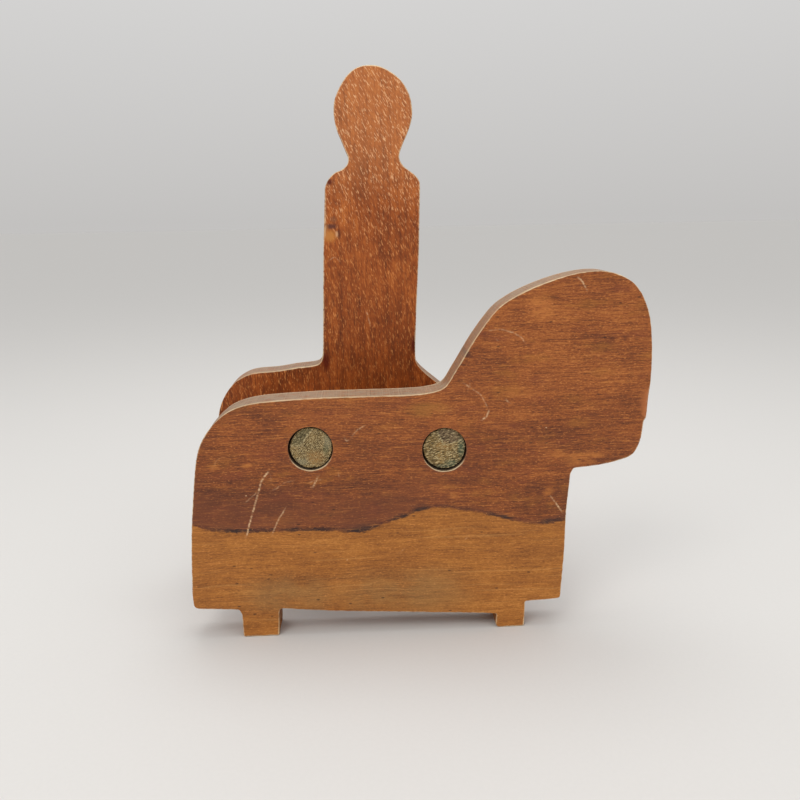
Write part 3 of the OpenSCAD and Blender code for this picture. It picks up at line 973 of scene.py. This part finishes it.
# scratches: depth, then the points of the path as (x, z)
HORSE_FRONT_SCRATCHES = [
    (0.22, [(-73.5, 89), (-76, 86), (-77.5, 83.5), (-79, 78.5), (-80.8, 73), (-82.6, 67.5)]),
    (0.18, [(-82.9, 66.5), (-84.3, 62), (-86.2, 55.5)]),
    (0.07, [(-72.6, 87.5), (-72.4, 83)]),
    (0.12, [(-66.5, 69), (-70, 63.5), (-73.5, 56)]),
    (0.05, [(-79, 79), (-82.5, 76), (-86, 73)]),
    (0.05, [(-73, 79), (-70, 80), (-66, 83), (-61, 84)]),
    (0.22, [(-49.6, 85), (-50.8, 82.6), (-52, 80.5)]),
    (0.07, [(-54, 82.4), (-51.5, 83.4), (-47, 84)]),
    (0.08, [(-39.2, 87), (-39.1, 84.8)]),
    (0.1, [(-31.5, 106.5), (-29, 109), (-25.5, 111)]),
    (0.14, [(23.5, 130.5), (26.5, 128.5)]),
    (0.07, [(26.2, 131), (25.2, 127.5)]),
    (0.08, [(26.5, 128.5), (31.3, 125), (35.3, 117.5)]),
    (0.2, [(35.6, 117), (34.5, 114), (32, 112)]),
    (0.1, [(38.6, 152), (40, 151)]),
    (0.15, [(67, 71.5), (70, 67.5), (73, 63)]),
    (0.15, [(77, 181), (79.5, 179), (82, 175)]),
    (0.08, [(35, 156.3), (41, 156.8), (47, 155), (51, 152.5), (53, 149.5)]),
    (0.08, [(-7, 46), (-9.5, 43.5)]),
    (0.08, [(25, 51), (23.5, 49)]),
    (0.03, [(-101, 91), (-98, 96), (-95, 97)]),
    (0.1, [(-35.5, 105), (-34.8, 103.4), (-33.4, 103.9)]),
    (0.16, [(44, 121.8), (45.6, 120.5)]),
]
HORSE_BACK_SCRATCHES = [
    (0.12, [(-60, 40), (-40, 52), (-22, 55)]),
    (0.12, [(30, 95), (52, 118), (60, 140)]),
    (0.08, [(-90, 95), (-70, 101)]),
]
RIDER_FRONT_SCRATCHES = [
    (0.1, [(-23, 158), (-21, 150)]),
    (0.08, [(-43.5, 187), (-40, 189), (-37, 186)]),
]
RIDER_BACK_SCRATCHES = [
    (0.15, [(-80, 70), (-55, 62), (-30, 66)]),
    (0.12, [(-30, 170), (-22, 200), (-20, 214)]),
    (0.08, [(20, 60), (45, 48)]),
    (0.08, [(-5, 262), (-18, 270)]),
]


def horse_wear(p):
    """The muzzle and the feet are rounded more than the rest."""
    nose = fade(np.hypot(p[:, 0] - 112, p[:, 1] - 100), 26, 6)
    feet = fade(p[:, 1], 8, 1)
    return 0.35 * nose + 0.5 * feet


def horse_saw(p):
    """Saw marks are deepest on the rump's lower edge."""
    rump = fade(p[:, 0], -104, -112) * fade(p[:, 1], 56, 46) * fade(p[:, 1], 17, 24)
    return 0.03 + 0.12 * rump


def horse_chips(p):
    """A sliver is missing from the near edge above the lip."""
    return fade(p[:, 0], 108, 112) * fade(p[:, 1], 110, 112) * fade(p[:, 1], 129, 122)


def rider_wear(p):
    """The figure and the feet are rounder than the body, and the back above the knot the most."""
    x, z = p[:, 0], p[:, 1]
    figure = 0.2 * fade(z, 120, 135) + 0.15 * fade(z, 240, 285)
    back = fade(x, -35, -42) * fade(z, 200, 208) * fade(z, 226, 219)
    return figure + 0.3 * fade(z, 8, 1) + 0.4 * back


def rider_saw(p):
    """Saw marks are a little deeper below the waist."""
    return 0.04 + 0.02 * fade(p[:, 1], 150, 100)


def rider_chips(p):
    """A small break at the knot on the rider's back."""
    return 0.6 * fade(np.hypot(p[:, 0] + 45.5, p[:, 1] - 203), 6, 2)


board("horse", "horse_board", horse_wood(), horse_wear, horse_saw, horse_chips,
      (HORSE_FRONT_SCRATCHES, HORSE_BACK_SCRATCHES), seed=11)
board("rider", "rider_board", rider_wood(), rider_wear, rider_saw, rider_chips,
      (RIDER_FRONT_SCRATCHES, RIDER_BACK_SCRATCHES), seed=37)
dowel("dowel_near_rump", "rump_dowel",
      dowel_wood("rump_dowel_wood", 35, 1.2, colour(104, 98, 68), [
          (colour(150, 142, 112), [(-44, 103, 3, 6), (-57, 93, 5, 2.5)]),
          (colour(96, 96, 66), [(-45, 99, 2, 4)]),
          (colour(158, 116, 66), [(-50, 95, 6, 5)])]),
      lean=35, streak=1.2, facet=((142, 5), (90, 1.7)), shift=(0.45, 0.05), seed=53)
dowel("dowel_near_chest", "chest_dowel",
      dowel_wood("chest_dowel_wood", -16, 3.2, colour(112, 92, 74), [
          (colour(84, 98, 76), [(22, 98, 2.5, 7), (17, 90, 5, 3)]),
          (colour(30, 58, 50), [(12, 88.6, 5, 1.8)]),
          (colour(160, 124, 74), [(13, 99, 6, 3)])]),
      lean=-16, streak=3.2, facet=((24, 0.85), (101.5, 2.5)), shift=(0.25, 0.35), seed=71)

# ---------------------------------------------------------------- stage, light and camera

FLOOR_SIDE = 36.0  # metres
half = FLOOR_SIDE / 2
corners = [(-half, -half, 0), (half, -half, 0), (half, half, 0), (-half, half, 0)]
floor_mesh = bpy.data.meshes.new("studio_floor")
floor_mesh.from_pydata(corners, [], [(0, 1, 2, 3)])
floor_mesh.materials.append(floor_paint())
floor = bpy.data.objects.new("studio_floor", floor_mesh)
bpy.context.scene.collection.objects.link(floor)

world = bpy.data.worlds.new("studio")
world.use_nodes = True
sky = world.node_tree
height = sky.nodes.new("ShaderNodeSeparateXYZ")
sky.links.new(sky.nodes.new("ShaderNodeTexCoord").outputs["Generated"], height.inputs[0])
shade = sky.nodes.new("ShaderNodeValToRGB")  # as grey as the far floor at the horizon
shade.color_ramp.elements[0].color = (0.545, 0.535, 0.525, 1)
shade.color_ramp.elements[1].position = 0.8
shade.color_ramp.elements[1].color = (0.92, 0.92, 0.92, 1)
sky.links.new(height.outputs["Z"], shade.inputs["Fac"])
sky.links.new(shade.outputs["Color"], sky.nodes["Background"].inputs["Color"])
bpy.context.scene.world = world


def soft_light(name, place, aim, side, watts, tint=(1, 1, 1)):
    """Square area light at a place, in metres, turned towards a point."""
    lamp = bpy.data.lights.new(name, "AREA")
    lamp.shape = "SQUARE"
    lamp.size = side
    lamp.energy = watts
    lamp.color = tint
    obj = bpy.data.objects.new(name, lamp)
    obj.location = place
    obj.rotation_euler = (Vector(aim) - Vector(place)).to_track_quat("-Z", "Y").to_euler()
    bpy.context.scene.collection.objects.link(obj)


middle = (cad_low + cad_high) / 2
soft_light("top", (0.0, 0.15, 1.0), middle, 0.6, 3)
soft_light("key", (-0.5, -0.9, 1.1), middle, 0.6, 5, (1, 0.98, 0.95))
soft_light("fill", (0.9, -0.9, 0.8), middle, 0.7, 1.6)

CAMERA_PLACE = (-24.15 * MM, -426.4 * MM, 209.9 * MM)
CAMERA_DOWN = 12.86  # degrees below level
CAMERA_TURN = 2.43  # degrees towards the muzzle
CAMERA_ROLL = -1.0  # degrees
lens = bpy.data.cameras.new("camera")
lens.lens = 36
lens.sensor_width = 36
camera = bpy.data.objects.new("camera", lens)
aim = Euler((math.radians(90 - CAMERA_DOWN), 0, math.radians(-CAMERA_TURN))).to_matrix()
roll = Matrix.Rotation(math.radians(CAMERA_ROLL), 3, "Z")
camera.matrix_world = Matrix.Translation(CAMERA_PLACE) @ (aim @ roll).to_4x4()
bpy.context.scene.collection.objects.link(camera)
bpy.context.scene.camera = camera
bpy.context.scene.view_settings.view_transform = "Standard"

bpy.context.view_layer.update()
